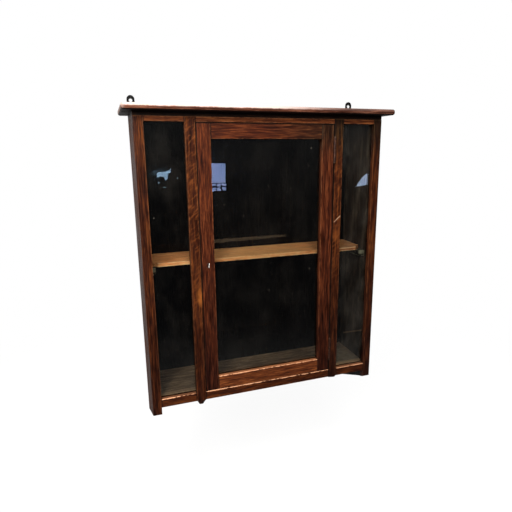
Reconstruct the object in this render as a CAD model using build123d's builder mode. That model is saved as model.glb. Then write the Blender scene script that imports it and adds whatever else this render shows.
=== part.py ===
from build123d import *
import os

# Glazed wall-hung display bookcase in dark oak, in millimetres.
#
# +X runs to the cabinet's right as seen from the front, +Y runs back to the wall and +Z is up.
# The origin lies on the wall plane, midway between the two hanging holes and level with them.
# The front frame holds four posts (two stiles with feet, two mullions) joined by short rails.
# The centre bay has a hinged glazed door, and the two narrow bays have fixed glass.

os.makedirs("parts", exist_ok=True)

# ---------------------------------------------------------------- driving dimensions
case_width = 800.0
case_depth = 208.0
frame_thickness = 22.0

# Heights above the underside of the front feet, which level() carries down from the hole line.
hang_height = 987.0
bottom_rail_low = 24.0
bottom_rail_high = 53.0
floor_high = 56.0
opening_high = 912.0
frame_high = 926.0
sub_top_high = 940.0
top_board_high = 958.0

stile_width = 28.0
mullion_width = 30.0
mullion_centre = 241.5          # from the middle of the cabinet
outer_arris = 4.0               # rounding of the stiles' outer front corners
arris = 1.0                     # worn rounding of every other front corner

side_thickness = 22.0
side_drop = 93.0                # the sides' lower edges slope down towards the wall by this much
floor_thickness = 16.0
housing = 6.0                   # depth of the grooves that hold the floor
back_thickness = 11.0
back_board_count = 3
back_lap = 8.0

top_overhang = 30.0
top_rounding = 7.0
top_corner = 6.0
sub_top_recess = 4.0

tenon_front = 5.0               # tenons lie this far behind the front face
tenon_thickness = 8.0
tenon_length = 10.0
bottom_tenon = (4.0, 20.0)      # tenon's span above the bottom rail's underside
top_tenon = (3.0, 12.0)         # tenon's span above the top rail's underside

glass_thickness = 3.0
glass_setback = 14.0            # front face of the wood to the front of the glass
rebate_width = 7.0
glass_fit = 1.0                 # room round a pane in its rebate
bead_gap = 0.1

pendant_drop = 17.0
pendant_tip = (13.0, 10.0)
stub_drop = 5.0

shelf_thickness = 12.0
shelf_high = 490.5
shelf_front = 52.0              # front edge of the shelf behind the frame's face
shelf_clip = 26.0               # corners cut off the shelf's front
shelf_end_gap = 1.5
bearer_width = 20.0
bearer_height = 20.0
bearer_front = 38.0
bearer_nose = 14.0

door_gap = 1.5
door_stile_width = 43.0
door_rail_height = 46.0
door_back_gap = 0.5
door_tenon_length = 20.0
door_tenon_thickness = 7.0
door_tenon_front = 4.0
door_tenon_inset = 8.0

hinge_height = 76.0
hinge_inset = 42.0              # from the door's end to the near end of the leaf
leaf_thickness = 1.6
leaf_depth = 18.0
knuckle_radius = 4.0
knuckle_out = 3.0               # hinge axis in front of the door's face
knuckle_count = 5
knuckle_play = 0.2
knuckle_room = 0.4
pin_radius = 1.8
pin_play = 0.05
finial_radius = 3.2
finial_height = 4.5
leaf_play = 0.05

key_height = 483.5
key_from_edge = 21.5
lock_width = 27.0
lock_height = 48.0
lock_plate_height = 66.0
lock_plate_thickness = 1.6
lock_wall = 1.5
lock_front = 12.2               # front of the lock's box behind the door's face
lock_room = 0.2
bolt_length = 28.0
bolt_height = 12.0
bolt_thickness = 5.0
bolt_above_key = 7.0
bolt_front = 14.4
bolt_retract = 0.5              # tip of the bolt inside the door's edge
bolt_room = 0.3
strike_depth = 10.0
escutcheon_thickness = 2.5
escutcheon_proud = 0.4

stop_width = 18.0
stop_thickness = 8.0
stop_cover = 5.0                # how far the stop reaches behind the door
stop_end_gap = 8.0

plate_width = 24.0
plate_thickness = 2.5
plate_low = 872.0
plate_high = 1003.0
plate_from_side = 12.0
hang_hole_radius = 5.5

top_screw_length = 27.0
back_screw_length = 28.0
back_screw_inset = 45.0         # from a back board's long edges
stop_screw_length = 18.0
stop_screw_inset = 6.0          # from the stop's far edge
stop_screw_heights = (130.0, 380.0, 640.0, 850.0)
screw_shank = 1.6
screw_head = 3.4
screw_head_depth = 1.5
screw_slot = 0.8
hole_play = 0.05

# ---------------------------------------------------------------- derived places


def level(height):
    """Z of a height given above the underside of the front feet."""
    return height - hang_height


half_width = case_width / 2
front = -case_depth
frame_back = front + frame_thickness
inner_back = -back_thickness
side_inner = half_width - side_thickness
mullion_outer = mullion_centre + mullion_width / 2
mullion_inner = mullion_centre - mullion_width / 2
stile_inner = half_width - stile_width
slope = side_drop / case_depth
rebate_front = front + glass_setback

door_edge = mullion_inner - door_gap
door_low = level(bottom_rail_high) + door_gap
door_high = level(opening_high) - door_gap
door_back = frame_back - door_back_gap
door_sight_x = door_edge - door_stile_width
door_sight_low = door_low + door_rail_height
door_sight_high = door_high - door_rail_height

hinge_x = door_edge + door_gap / 2
hinge_y = front - knuckle_out
hinge_lows = (door_low + hinge_inset, door_high - hinge_inset - hinge_height)

key_x = -door_edge + key_from_edge
key_z = level(key_height)
lock_low_x = key_x - lock_width / 2
bolt_tip = -door_edge + bolt_retract
bolt_low = key_z + bolt_above_key

stop_x = -door_edge + stop_cover
stop_back = frame_back + stop_thickness
stop_screw_x = stop_x - stop_width + stop_screw_inset

plate_x = half_width - plate_from_side
bearer_top = level(shelf_high - shelf_thickness)
plate_screw_heights = (886.0, 908.0)
bearer_screw_setbacks = (66.0, 116.0, 166.0)
top_screw_spots = [(x, front + setback) for x in (-300.0, 0.0, 300.0) for setback in (50.0, 150.0)]
board_pitch = 2 * side_inner / back_board_count
back_screw_xs = [
    number * board_pitch - side_inner + step
    for number in range(back_board_count)
    for step in (back_screw_inset, board_pitch - back_screw_inset)
]
back_screw_zs = (level(floor_high - floor_thickness / 2), level((frame_high + sub_top_high) / 2))
hinge_screw_steps = (12.0, 38.0, 64.0)
hinge_screw_y = front + 9.0
lock_screw_rise = 28.5
lock_screw_side = 9.0


# ---------------------------------------------------------------- shared shapes
def block(x_span, y_span, z_span, mode=Mode.ADD):
    """A rectangular block between low and high limits on each axis."""
    sizes = [high - low for low, high in (x_span, y_span, z_span)]
    with Locations((x_span[0], y_span[0], z_span[0])):
        Box(*sizes, align=(Align.MIN, Align.MIN, Align.MIN), mode=mode)


def mirrored_span(low, high, side):
    """The span low..high on the right (side 1), or its mirror image on the left (side -1)."""
    return (low, high) if side > 0 else (-high, -low)


def finish(piece, name):
    """Label a finished piece and write its file."""
    piece.part.label = name
    export_step(piece.part, f"parts/{name}.step")


def finish_pair(piece, name):
    """Write a left-hand piece and its mirror image on the right."""
    finish(piece, f"{name}_left")
    with BuildPart() as other:
        mirror(piece.part, about=Plane.YZ)
    finish(other, f"{name}_right")


def head_plane(point, inward):
    """Plane at the face a screw enters, its normal pointing out of the wood."""
    return Plane(origin=point, z_dir=(-inward[0], -inward[1], -inward[2]))


def screw(point, inward, length):
    """Add a slotted countersunk screw whose head is flush with the face at point."""
    face = head_plane(point, inward)
    with BuildSketch(face) as rim:
        Circle(screw_head)
    with BuildSketch(face.offset(-screw_head_depth)) as neck:
        Circle(screw_shank)
    loft([rim.sketch, neck.sketch])
    extrude(neck.sketch, amount=-(length - screw_head_depth - screw_shank))
    with BuildSketch(face.offset(-(length - screw_shank))) as point_base:
        Circle(screw_shank)
    extrude(point_base.sketch, amount=-screw_shank, taper=40)
    with BuildSketch(face) as slot:
        Rectangle(2 * screw_head, screw_slot)
    extrude(slot.sketch, amount=-screw_slot, mode=Mode.SUBTRACT)


def screw_hole(point, inward, length):
    """Cut the countersunk hole that screw() fills, with a little play."""
    face = head_plane(point, inward)
    with BuildSketch(face) as rim:
        Circle(screw_head + hole_play)
    with BuildSketch(face.offset(-screw_head_depth)) as neck:
        Circle(screw_shank + hole_play)
    loft([rim.sketch, neck.sketch], mode=Mode.SUBTRACT)
    depth = length - screw_head_depth + hole_play
    extrude(neck.sketch, amount=-depth, mode=Mode.SUBTRACT)


def pin_hole(point, inward, start, length):
    """Cut the plain hole for a screw's shank, from start to length behind its head."""
    with BuildSketch(head_plane(point, inward).offset(-start)) as mouth:
        Circle(screw_shank + hole_play)
    extrude(mouth.sketch, amount=-(length - start + hole_play), mode=Mode.SUBTRACT)


def front_edges(piece):
    """The edges of a piece's foremost face."""
    return piece.faces().sort_by(Axis.Y)[0].edges()


def bead_frame(x_span, z_span, y_span):
    """Add four mitred glazing beads, each a solid of its own, inside the given limits."""
    (x0, x1), (z0, z1) = x_span, z_span
    w = rebate_width
    g = bead_gap
    lower = [(x0 + g, z0), (x1 - g, z0), (x1 - w - g, z0 + w), (x0 + w + g, z0 + w)]
    upper = [(x0 + g, z1), (x1 - g, z1), (x1 - w - g, z1 - w), (x0 + w + g, z1 - w)]
    left = [(x0, z0 + g), (x0 + w, z0 + w + g), (x0 + w, z1 - w - g), (x0, z1 - g)]
    right = [(x1, z0 + g), (x1 - w, z0 + w + g), (x1 - w, z1 - w - g), (x1, z1 - g)]
    back_plane = Plane(origin=(0, y_span[1], 0), x_dir=(1, 0, 0), z_dir=(0, -1, 0))
    for outline in (lower, upper, left, right):
        with BuildSketch(back_plane) as section:
            Polygon(*outline, align=None)
        extrude(section.sketch, amount=y_span[1] - y_span[0])


def plate_housing(side):
    """Cut the shallow housing that lets a hanging plate lie flush with the back."""
    reach = plate_width / 2 + hole_play
    x_span = mirrored_span(plate_x - reach, plate_x + reach, side)
    z_span = (level(plate_low) - hole_play, level(plate_high))
    block(x_span, (-plate_thickness, 0), z_span, Mode.SUBTRACT)


# ---------------------------------------------------------------- top
board_half = half_width + top_overhang
with BuildPart() as top_board:
    with BuildSketch(Plane.XY.offset(level(sub_top_high))) as top_outline:
        with Locations((0, (front - top_overhang) / 2)):
            Rectangle(2 * board_half, case_depth + top_overhang)
        fillet(top_outline.vertices().group_by(Axis.Y)[0], top_corner)
    extrude(amount=top_board_high - sub_top_high)
    rims = top_board.faces().filter_by(Axis.Z).edges()
    fillet(rims.filter_by(lambda edge: edge.center().Y < -1), top_rounding)
    plate_housing(-1)
    plate_housing(1)
    for x, y in top_screw_spots:
        pin_hole((x, y, level(frame_high)), (0, 0, 1), sub_top_high - frame_high, top_screw_length)
finish(top_board, "top_board")

with BuildPart() as sub_top:
    sub_top_z = (level(frame_high), level(sub_top_high))
    block((-half_width, half_width), (front + sub_top_recess, 0), sub_top_z)
    block((-side_inner, side_inner), (inner_back, 0), sub_top_z, Mode.SUBTRACT)
    plate_housing(-1)
    plate_housing(1)
    for x, y in top_screw_spots:
        screw_hole((x, y, level(frame_high)), (0, 0, 1), sub_top_high - frame_high + 1)
    for x in back_screw_xs:
        pin_hole((x, 0, back_screw_zs[1]), (0, -1, 0), back_thickness, back_screw_length)
finish(sub_top, "sub_top")

with BuildPart() as top_screws:
    for x, y in top_screw_spots:
        screw((x, y, level(frame_high)), (0, 0, 1), top_screw_length)
finish(top_screws, "top_screws")

# ---------------------------------------------------------------- sides
with BuildPart() as side:
    with BuildSketch(Plane.YZ.offset(-half_width)):
        with BuildLine():
            Polyline(
                (frame_back, level(0) - slope * frame_thickness),
                (0, level(0) - side_drop),
                (0, level(frame_high)),
                (frame_back, level(frame_high)),
                close=True,
            )
        make_face()
    extrude(amount=side_thickness)
    block(
        (-side_inner - housing, -side_inner),
        (frame_back, inner_back),
        (level(floor_high - floor_thickness), level(floor_high)),
        Mode.SUBTRACT,
    )
    plate_housing(-1)
    for height in plate_screw_heights:
        pin_hole((-plate_x, 0, level(height)), (0, -1, 0), plate_thickness, 20)
    for setback in bearer_screw_setbacks:
        spot = (-side_inner + bearer_width, front + setback, bearer_top - bearer_height / 2)
        pin_hole(spot, (-1, 0, 0), bearer_width, 34)
finish_pair(side, "side")

# ---------------------------------------------------------------- posts
light_low = level(bottom_rail_high) - rebate_width
light_high = level(opening_high) + rebate_width
tenon_y = (front + tenon_front, front + tenon_front + tenon_thickness)
tenon_spans = (
    tuple(level(bottom_rail_low + step) for step in bottom_tenon),
    tuple(level(opening_high + step) for step in top_tenon),
)


def cut_mortises(face_x, direction):
    """Cut both rail mortises into a post's face; direction points into the wood."""
    x_span = tuple(sorted((face_x, face_x + direction * tenon_length)))
    for z_span in tenon_spans:
        block(x_span, tenon_y, z_span, Mode.SUBTRACT)


def cut_glass_rebate(face_x, direction):
    """Cut the stopped rebate for a fixed pane along a post's back corner."""
    x_span = tuple(sorted((face_x, face_x + direction * rebate_width)))
    block(x_span, (rebate_front, frame_back), (light_low, light_high), Mode.SUBTRACT)


with BuildPart() as stile:
    with BuildSketch(Plane.YZ.offset(-half_width)):
        with BuildLine():
            Polyline(
                (front, level(0)),
                (frame_back, level(0) - slope * frame_thickness),
                (frame_back, level(frame_high)),
                (front, level(frame_high)),
                close=True,
            )
        make_face()
    extrude(amount=stile_width)
    upright = stile.edges().filter_by(Axis.Z).group_by(Axis.Y)[0].sort_by(Axis.X)
    fillet(upright[0], outer_arris)
    fillet(stile.edges().filter_by(Axis.Z).sort_by(Axis.X)[-1:], arris)
    cut_mortises(-stile_inner, -1)
    cut_glass_rebate(-stile_inner, -1)
finish_pair(stile, "stile")


def mullion_post(side):
    """Add the plain post of a mullion, from the rails' underside to the top of the frame."""
    block(
        mirrored_span(mullion_inner, mullion_outer, side),
        (front, frame_back),
        (level(bottom_rail_low), level(frame_high)),
    )


def mullion_cuts(side):
    """Cut a mullion's mortises on both faces and the rebate on its outer face."""
    cut_mortises(side * mullion_outer, -side)
    cut_mortises(side * mullion_inner, side)
    cut_glass_rebate(side * mullion_outer, -side)


mid_frame_y = (front + frame_back) / 2
with BuildPart() as mullion_left:
    mullion_post(-1)
    fillet(mullion_left.edges().filter_by(Axis.Z).group_by(Axis.Y)[0], arris)
    mullion_cuts(-1)
    for height in stop_screw_heights:
        pin_hole((stop_screw_x, stop_back, level(height)), (0, -1, 0), stop_thickness, stop_screw_length)
    pendant_plane = Plane((-mullion_centre, mid_frame_y, level(bottom_rail_low)))
    with BuildSketch(pendant_plane):
        RectangleRounded(mullion_width, frame_thickness, arris)
    with BuildSketch(pendant_plane.offset(-0.55 * pendant_drop)):
        RectangleRounded(0.66 * mullion_width, 0.7 * frame_thickness, 3)
    with BuildSketch(pendant_plane.offset(-pendant_drop)):
        RectangleRounded(pendant_tip[0], pendant_tip[1], 3)
    loft()
    fillet(mullion_left.faces().sort_by(Axis.Z)[0].edges(), 2.5)
    block(
        (-mullion_inner - strike_depth, -mullion_inner),
        (front + bolt_front - 2 * bolt_room, front + bolt_front + bolt_thickness + 2 * bolt_room),
        (bolt_low - 2 * bolt_room, bolt_low + bolt_height + 2 * bolt_room),
        Mode.SUBTRACT,
    )
finish(mullion_left, "mullion_left")

leaf_back = front + leaf_depth
with BuildPart() as mullion_right:
    mullion_post(1)
    fillet(mullion_right.edges().filter_by(Axis.Z).group_by(Axis.Y)[0], arris)
    mullion_cuts(1)
    stub_plane = Plane((mullion_centre, mid_frame_y, level(bottom_rail_low)))
    with BuildSketch(stub_plane):
        RectangleRounded(mullion_width, frame_thickness, arris)
    with BuildSketch(stub_plane.offset(-stub_drop)):
        RectangleRounded(0.8 * mullion_width, 0.84 * frame_thickness, 2)
    loft()
    break_plane = Plane((mullion_centre, mid_frame_y, level(bottom_rail_low) - 0.6 * stub_drop))
    split(bisect_by=break_plane.rotated((7, 9, 0)), keep=Keep.TOP)
    for low in hinge_lows:
        leaf_x = (mullion_inner, hinge_x + leaf_play + leaf_thickness)
        block(leaf_x, (front, leaf_back), (low, low + hinge_height), Mode.SUBTRACT)
        with BuildSketch(Plane((hinge_x, hinge_y, low - finial_height - 1))):
            Circle(knuckle_radius + knuckle_room)
        extrude(amount=hinge_height + 2 * finial_height + 2, mode=Mode.SUBTRACT)
        for step in hinge_screw_steps:
            spot = (hinge_x + leaf_play, hinge_screw_y, low + step)
            pin_hole(spot, (1, 0, 0), leaf_thickness, 16)
finish(mullion_right, "mullion_right")


# ---------------------------------------------------------------- rails between the posts
def rail(piece, x_span, z_span, tenon_span):
    """Add a rail with its long front corners eased and a stub tenon at each end."""
    block(x_span, (front, frame_back), z_span)
    fillet(front_edges(piece).filter_by(Axis.X), arris)
    block((x_span[0] - tenon_length, x_span[1] + tenon_length), tenon_y, tenon_span)


bays = {
    "left": (-stile_inner, -mullion_outer),
    "centre": (-mullion_inner, mullion_inner),
    "right": (mullion_outer, stile_inner),
}
top_z = (level(opening_high), level(frame_high))
bottom_z = (level(bottom_rail_low), level(bottom_rail_high))
rebate_y = (rebate_front, frame_back)
for bay, bay_x in bays.items():
    glazed = bay != "centre"
    with BuildPart() as top_rail:
        rail(top_rail, bay_x, top_z, tenon_spans[1])
        if glazed:
            block(bay_x, rebate_y, (top_z[0], light_high), Mode.SUBTRACT)
    finish(top_rail, f"top_rail_{bay}")
    with BuildPart() as bottom_rail:
        rail(bottom_rail, bay_x, bottom_z, tenon_spans[0])
        if glazed:
            block(bay_x, rebate_y, (light_low, bottom_z[1]), Mode.SUBTRACT)
    finish(bottom_rail, f"bottom_rail_{bay}")

# ---------------------------------------------------------------- fixed glass and its beads
light_x = (-stile_inner - rebate_width, -mullion_outer + rebate_width)
light_z = (light_low, light_high)
bead_front = rebate_front + glass_thickness + bead_gap
with BuildPart() as light_glass:
    block(
        (light_x[0] + glass_fit, light_x[1] - glass_fit),
        (rebate_front, rebate_front + glass_thickness),
        (light_z[0] + glass_fit, light_z[1] - glass_fit),
    )
finish_pair(light_glass, "light_glass")

with BuildPart() as light_beads:
    bead_frame(light_x, light_z, (bead_front, frame_back))
finish_pair(light_beads, "light_beads")

# ---------------------------------------------------------------- floor and back
with BuildPart() as floor_board:
    block(
        (-side_inner - housing, side_inner + housing),
        (frame_back, inner_back),
        (level(floor_high - floor_thickness), level(floor_high)),
    )
    for x in back_screw_xs:
        pin_hole((x, 0, back_screw_zs[0]), (0, -1, 0), back_thickness, back_screw_length)
finish(floor_board, "floor_board")

back_z = (level(floor_high - floor_thickness), level(sub_top_high))
half_lap = back_thickness / 2
for number in range(back_board_count):
    low_x = -side_inner + number * board_pitch
    high_x = low_x + board_pitch
    with BuildPart() as back_board:
        block((low_x, high_x), (inner_back, 0), back_z)
        if number > 0:
            block((low_x - back_lap, low_x), (inner_back, -half_lap - bead_gap), back_z)
        if number < back_board_count - 1:
            block((high_x - back_lap, high_x), (inner_back, -half_lap), back_z, Mode.SUBTRACT)
        plate_housing(-1)
        plate_housing(1)
        for x in back_screw_xs[2 * number:2 * number + 2]:
            for z in back_screw_zs:
                screw_hole((x, 0, z), (0, -1, 0), back_thickness + 1)
    finish(back_board, f"back_board_{number + 1}")

with BuildPart() as back_screws:
    for x in back_screw_xs:
        for z in back_screw_zs:
            screw((x, 0, z), (0, -1, 0), back_screw_length)
finish(back_screws, "back_screws")

# ---------------------------------------------------------------- shelf and bearers
with BuildPart() as shelf:
    shelf_half = side_inner - shelf_end_gap
    front_y = front + shelf_front
    with BuildSketch(Plane.XY.offset(bearer_top)):
        Polygon(
            (-shelf_half, inner_back - 1),
            (-shelf_half, front_y + shelf_clip),
            (-shelf_half + shelf_clip, front_y),
            (shelf_half - shelf_clip, front_y),
            (shelf_half, front_y + shelf_clip),
            (shelf_half, inner_back - 1),
            align=None,
        )
    extrude(amount=shelf_thickness)
    fillet(shelf.faces().sort_by(Axis.Y)[0].edges().filter_by(Axis.X), arris)
finish(shelf, "shelf")

with BuildPart() as bearer:
    bearer_x = (-side_inner, -side_inner + bearer_width)
    bearer_y = (front + bearer_front, inner_back)
    block(bearer_x, bearer_y, (bearer_top - bearer_height, bearer_top))
    fillet(bearer.edges().filter_by(Axis.Z).group_by(Axis.Y)[0].sort_by(Axis.X)[-1], bearer_nose)
    for setback in bearer_screw_setbacks:
        spot = (bearer_x[1], front + setback, bearer_top - bearer_height / 2)
        screw_hole(spot, (-1, 0, 0), bearer_width + 1)
finish_pair(bearer, "shelf_bearer")

with BuildPart() as bearer_screws:
    for side_sign in (-1, 1):
        for setback in bearer_screw_setbacks:
            spot_x = side_sign * (side_inner - bearer_width)
            spot = (spot_x, front + setback, bearer_top - bearer_height / 2)
            screw(spot, (side_sign, 0, 0), 34)
finish(bearer_screws, "bearer_screws")

# ---------------------------------------------------------------- door
door_tenon_y = (front + door_tenon_front, front + door_tenon_front + door_tenon_thickness)
door_rail_spans = ((door_low, door_sight_low), (door_sight_high, door_high))
sight_z = (door_sight_low - rebate_width, door_sight_high + rebate_width)


def door_stile(piece, side):
    """Add a door stile with its mortises and its stopped glass rebate."""
    x_span = mirrored_span(door_sight_x, door_edge, side)
    block(x_span, (front, door_back), (door_low, door_high))
    fillet(front_edges(piece), arris)
    for low, high in door_rail_spans:
        block(
            mirrored_span(door_sight_x, door_sight_x + door_tenon_length, side),
            door_tenon_y,
            (low + door_tenon_inset, high - door_tenon_inset),
            Mode.SUBTRACT,
        )
    rebate_x = mirrored_span(door_sight_x, door_sight_x + rebate_width, side)
    block(rebate_x, (rebate_front, door_back), sight_z, Mode.SUBTRACT)


def keyhole(radius, foot_low, foot_half, plane):
    """A keyhole sketched on a plane whose origin is the middle of the round part."""
    with BuildSketch(plane) as outline:
        Circle(radius)
        Polygon(
            (-0.55 * radius, 0),
            (0.55 * radius, 0),
            (foot_half, foot_low),
            (-foot_half, foot_low),
            align=None,
        )
    return outline.sketch


key_plane = Plane((key_x, front, key_z + 3), x_dir=(1, 0, 0), z_dir=(0, -1, 0))
key_inner = (2.6, -9.0, 2.0)
key_outer = (4.8, -11.5, 4.2)
lock_box_x = (lock_low_x, lock_low_x + lock_width)
lock_box_z = (key_z - lock_height / 2, key_z + lock_height / 2)
lock_plate_z = (key_z - lock_plate_height / 2, key_z + lock_plate_height / 2)
bolt_z = (bolt_low, bolt_low + bolt_height)
bolt_y = (front + bolt_front, front + bolt_front + bolt_thickness)
lock_screw_spots = [
    (key_x + side_step, door_back, key_z + rise)
    for side_step in (-lock_screw_side, lock_screw_side)
    for rise in (-lock_screw_rise, lock_screw_rise)
]


def widened(span, room):
    """A span with room added at both ends."""
    return (span[0] - room, span[1] + room)


with BuildPart() as door_stile_left:
    door_stile(door_stile_left, -1)
    block(
        widened(lock_box_x, lock_room),
        (front + lock_front - lock_room, door_back),
        widened(lock_box_z, lock_room),
        Mode.SUBTRACT,
    )
    block(
        widened(lock_box_x, lock_room),
        (door_back - lock_plate_thickness, door_back),
        widened(lock_plate_z, lock_room),
        Mode.SUBTRACT,
    )
    block(
        (-door_edge, lock_box_x[0]),
        widened(bolt_y, bolt_room),
        widened(bolt_z, bolt_room),
        Mode.SUBTRACT,
    )
    let_in = escutcheon_thickness - escutcheon_proud
    extrude(keyhole(*key_outer, key_plane), amount=-let_in, mode=Mode.SUBTRACT)
    extrude(keyhole(*key_inner, key_plane), amount=-lock_front, mode=Mode.SUBTRACT)
    for spot in lock_screw_spots:
        pin_hole(spot, (0, -1, 0), lock_plate_thickness, 8)
finish(door_stile_left, "door_stile_left")

with BuildPart() as door_stile_right:
    door_stile(door_stile_right, 1)
    for low in hinge_lows:
        leaf_x = (hinge_x - leaf_play - leaf_thickness, door_edge)
        block(leaf_x, (front, leaf_back), (low, low + hinge_height), Mode.SUBTRACT)
        with BuildSketch(Plane((hinge_x, hinge_y, low - finial_height - 1))):
            Circle(knuckle_radius + knuckle_room)
        extrude(amount=hinge_height + 2 * finial_height + 2, mode=Mode.SUBTRACT)
        for step in hinge_screw_steps:
            spot = (hinge_x - leaf_play, hinge_screw_y, low + step)
            pin_hole(spot, (-1, 0, 0), leaf_thickness, 16)
finish(door_stile_right, "door_stile_right")

for name, (low, high), rebate_z in (
    ("door_bottom_rail", door_rail_spans[0], (sight_z[0], door_sight_low)),
    ("door_top_rail", door_rail_spans[1], (door_sight_high, sight_z[1])),
):
    with BuildPart() as door_rail:
        block((-door_sight_x, door_sight_x), (front, door_back), (low, high))
        fillet(front_edges(door_rail).filter_by(Axis.X), arris)
        tenon_reach = door_sight_x + door_tenon_length
        tenon_z = (low + door_tenon_inset, high - door_tenon_inset)
        block((-tenon_reach, tenon_reach), door_tenon_y, tenon_z)
        block((-door_sight_x, door_sight_x), (rebate_front, door_back), rebate_z, Mode.SUBTRACT)
    finish(door_rail, name)

door_pane_x = door_sight_x + rebate_width
with BuildPart() as door_glass:
    block(
        (glass_fit - door_pane_x, door_pane_x - glass_fit),
        (rebate_front, rebate_front + glass_thickness),
        (sight_z[0] + glass_fit, sight_z[1] - glass_fit),
    )
finish(door_glass, "door_glass")

with BuildPart() as door_beads:
    bead_frame((-door_pane_x, door_pane_x), sight_z, (bead_front, door_back))
finish(door_beads, "door_beads")

with BuildPart() as door_stop:
    block(
        (stop_x - stop_width, stop_x),
        (frame_back, stop_back),
        (level(floor_high) + stop_end_gap, level(frame_high) - stop_end_gap),
    )
    for height in stop_screw_heights:
        screw_hole((stop_screw_x, stop_back, level(height)), (0, -1, 0), stop_thickness + 1)
finish(door_stop, "door_stop")

with BuildPart() as stop_screws:
    for height in stop_screw_heights:
        screw((stop_screw_x, stop_back, level(height)), (0, -1, 0), stop_screw_length)
finish(stop_screws, "stop_screws")

# ---------------------------------------------------------------- butt hinges
knuckle_pitch = hinge_height / knuckle_count


def hinge_leaf(low, direction, first_knuckle):
    """Add a hinge leaf on the side that direction names, with every second knuckle."""
    flat_x = tuple(sorted((
        hinge_x + direction * leaf_play,
        hinge_x + direction * (leaf_play + leaf_thickness),
    )))
    clear_y = hinge_y + knuckle_radius + knuckle_room
    block(flat_x, (clear_y, leaf_back), (low, low + hinge_height))
    for number in range(first_knuckle, knuckle_count, 2):
        knuckle_low = low + number * knuckle_pitch + knuckle_play / 2
        knuckle_high = knuckle_low + knuckle_pitch - knuckle_play
        block(flat_x, (hinge_y, clear_y), (knuckle_low, knuckle_high))
        with BuildSketch(Plane((hinge_x, hinge_y, knuckle_low))) as barrel:
            Circle(knuckle_radius)
        extrude(barrel.sketch, amount=knuckle_high - knuckle_low)
    with BuildSketch(Plane((hinge_x, hinge_y, low))) as bore:
        Circle(pin_radius + pin_play)
    extrude(bore.sketch, amount=hinge_height, mode=Mode.SUBTRACT)
    for step in hinge_screw_steps:
        spot = (hinge_x + direction * leaf_play, hinge_screw_y, low + step)
        screw_hole(spot, (direction, 0, 0), leaf_thickness + 1)


def hinge_pin(piece, low):
    """Add a hinge pin with a turned finial at each end."""
    with BuildSketch(Plane((hinge_x, hinge_y, low - knuckle_play))) as rod:
        Circle(pin_radius)
    extrude(rod.sketch, amount=hinge_height + 2 * knuckle_play)
    for end_z, up in ((low - knuckle_play, -1), (low + hinge_height + knuckle_play, 1)):
        with BuildSketch(Plane((hinge_x, hinge_y, end_z))) as finial:
            Circle(finial_radius)
        extrude(finial.sketch, amount=up * finial_height)
    for end_face in (piece.faces().sort_by(Axis.Z)[0], piece.faces().sort_by(Axis.Z)[-1]):
        fillet(end_face.edges(), 0.45 * finial_radius)


for place, low in zip(("lower", "upper"), hinge_lows):
    with BuildPart() as frame_leaf:
        hinge_leaf(low, 1, 0)
    finish(frame_leaf, f"hinge_{place}_frame_leaf")
    with BuildPart() as door_leaf:
        hinge_leaf(low, -1, 1)
    finish(door_leaf, f"hinge_{place}_door_leaf")
    with BuildPart() as pin:
        hinge_pin(pin, low)
    finish(pin, f"hinge_{place}_pin")

for owner, direction in (("frame", 1), ("door", -1)):
    with BuildPart() as hinge_screws:
        for low in hinge_lows:
            for step in hinge_screw_steps:
                spot = (hinge_x + direction * leaf_play, hinge_screw_y, low + step)
                screw(spot, (direction, 0, 0), 15)
    finish(hinge_screws, f"hinge_screws_{owner}")

# ---------------------------------------------------------------- lock
with BuildPart() as lock_case:
    block(lock_box_x, (front + lock_front, door_back), lock_box_z)
    block(lock_box_x, (door_back - lock_plate_thickness, door_back), lock_plate_z)
    block(
        widened(lock_box_x, -lock_wall),
        (front + lock_front + lock_wall, door_back - lock_plate_thickness),
        widened(lock_box_z, -lock_wall),
        Mode.SUBTRACT,
    )
    block(
        (lock_box_x[0], lock_box_x[0] + lock_wall),
        widened(bolt_y, bolt_room / 2),
        widened(bolt_z, bolt_room / 2),
        Mode.SUBTRACT,
    )
    key_slot = keyhole(*key_inner, key_plane.offset(-lock_front))
    extrude(key_slot, amount=-lock_wall, mode=Mode.SUBTRACT)
    for spot in lock_screw_spots:
        screw_hole(spot, (0, -1, 0), lock_plate_thickness + 1)
finish(lock_case, "lock_case")

with BuildPart() as lock_bolt:
    block((bolt_tip, bolt_tip + bolt_length), bolt_y, bolt_z)
    fillet(lock_bolt.faces().sort_by(Axis.X)[0].edges(), 0.8)
    with BuildSketch(Plane((bolt_tip + 0.7 * bolt_length, bolt_y[0], bolt_low), z_dir=(0, -1, 0))):
        Circle(4)
    extrude(amount=-bolt_thickness, mode=Mode.SUBTRACT)
finish(lock_bolt, "lock_bolt")

with BuildPart() as lock_screws:
    for spot in lock_screw_spots:
        screw(spot, (0, -1, 0), 8)
finish(lock_screws, "lock_screws")

with BuildPart() as escutcheon:
    rim_plane = key_plane.offset(escutcheon_proud)
    extrude(keyhole(*key_outer, rim_plane), amount=-escutcheon_thickness)
    key_slot = keyhole(*key_inner, rim_plane)
    extrude(key_slot, amount=-escutcheon_thickness, mode=Mode.SUBTRACT)
finish(escutcheon, "escutcheon")

# ---------------------------------------------------------------- hanging plates
with BuildPart() as hanging_plate:
    plate_middle = (level(plate_low) + level(plate_high)) / 2
    with BuildSketch(Plane((-plate_x, 0, plate_middle), z_dir=(0, -1, 0), x_dir=(0, 0, 1))):
        SlotOverall(plate_high - plate_low, plate_width)
    extrude(amount=plate_thickness)
    with BuildSketch(Plane((-plate_x, 0, 0), z_dir=(0, -1, 0))):
        Circle(hang_hole_radius)
    extrude(amount=plate_thickness, mode=Mode.SUBTRACT)
    for height in plate_screw_heights:
        screw_hole((-plate_x, 0, level(height)), (0, -1, 0), plate_thickness + 1)
finish_pair(hanging_plate, "hanging_plate")

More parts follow.
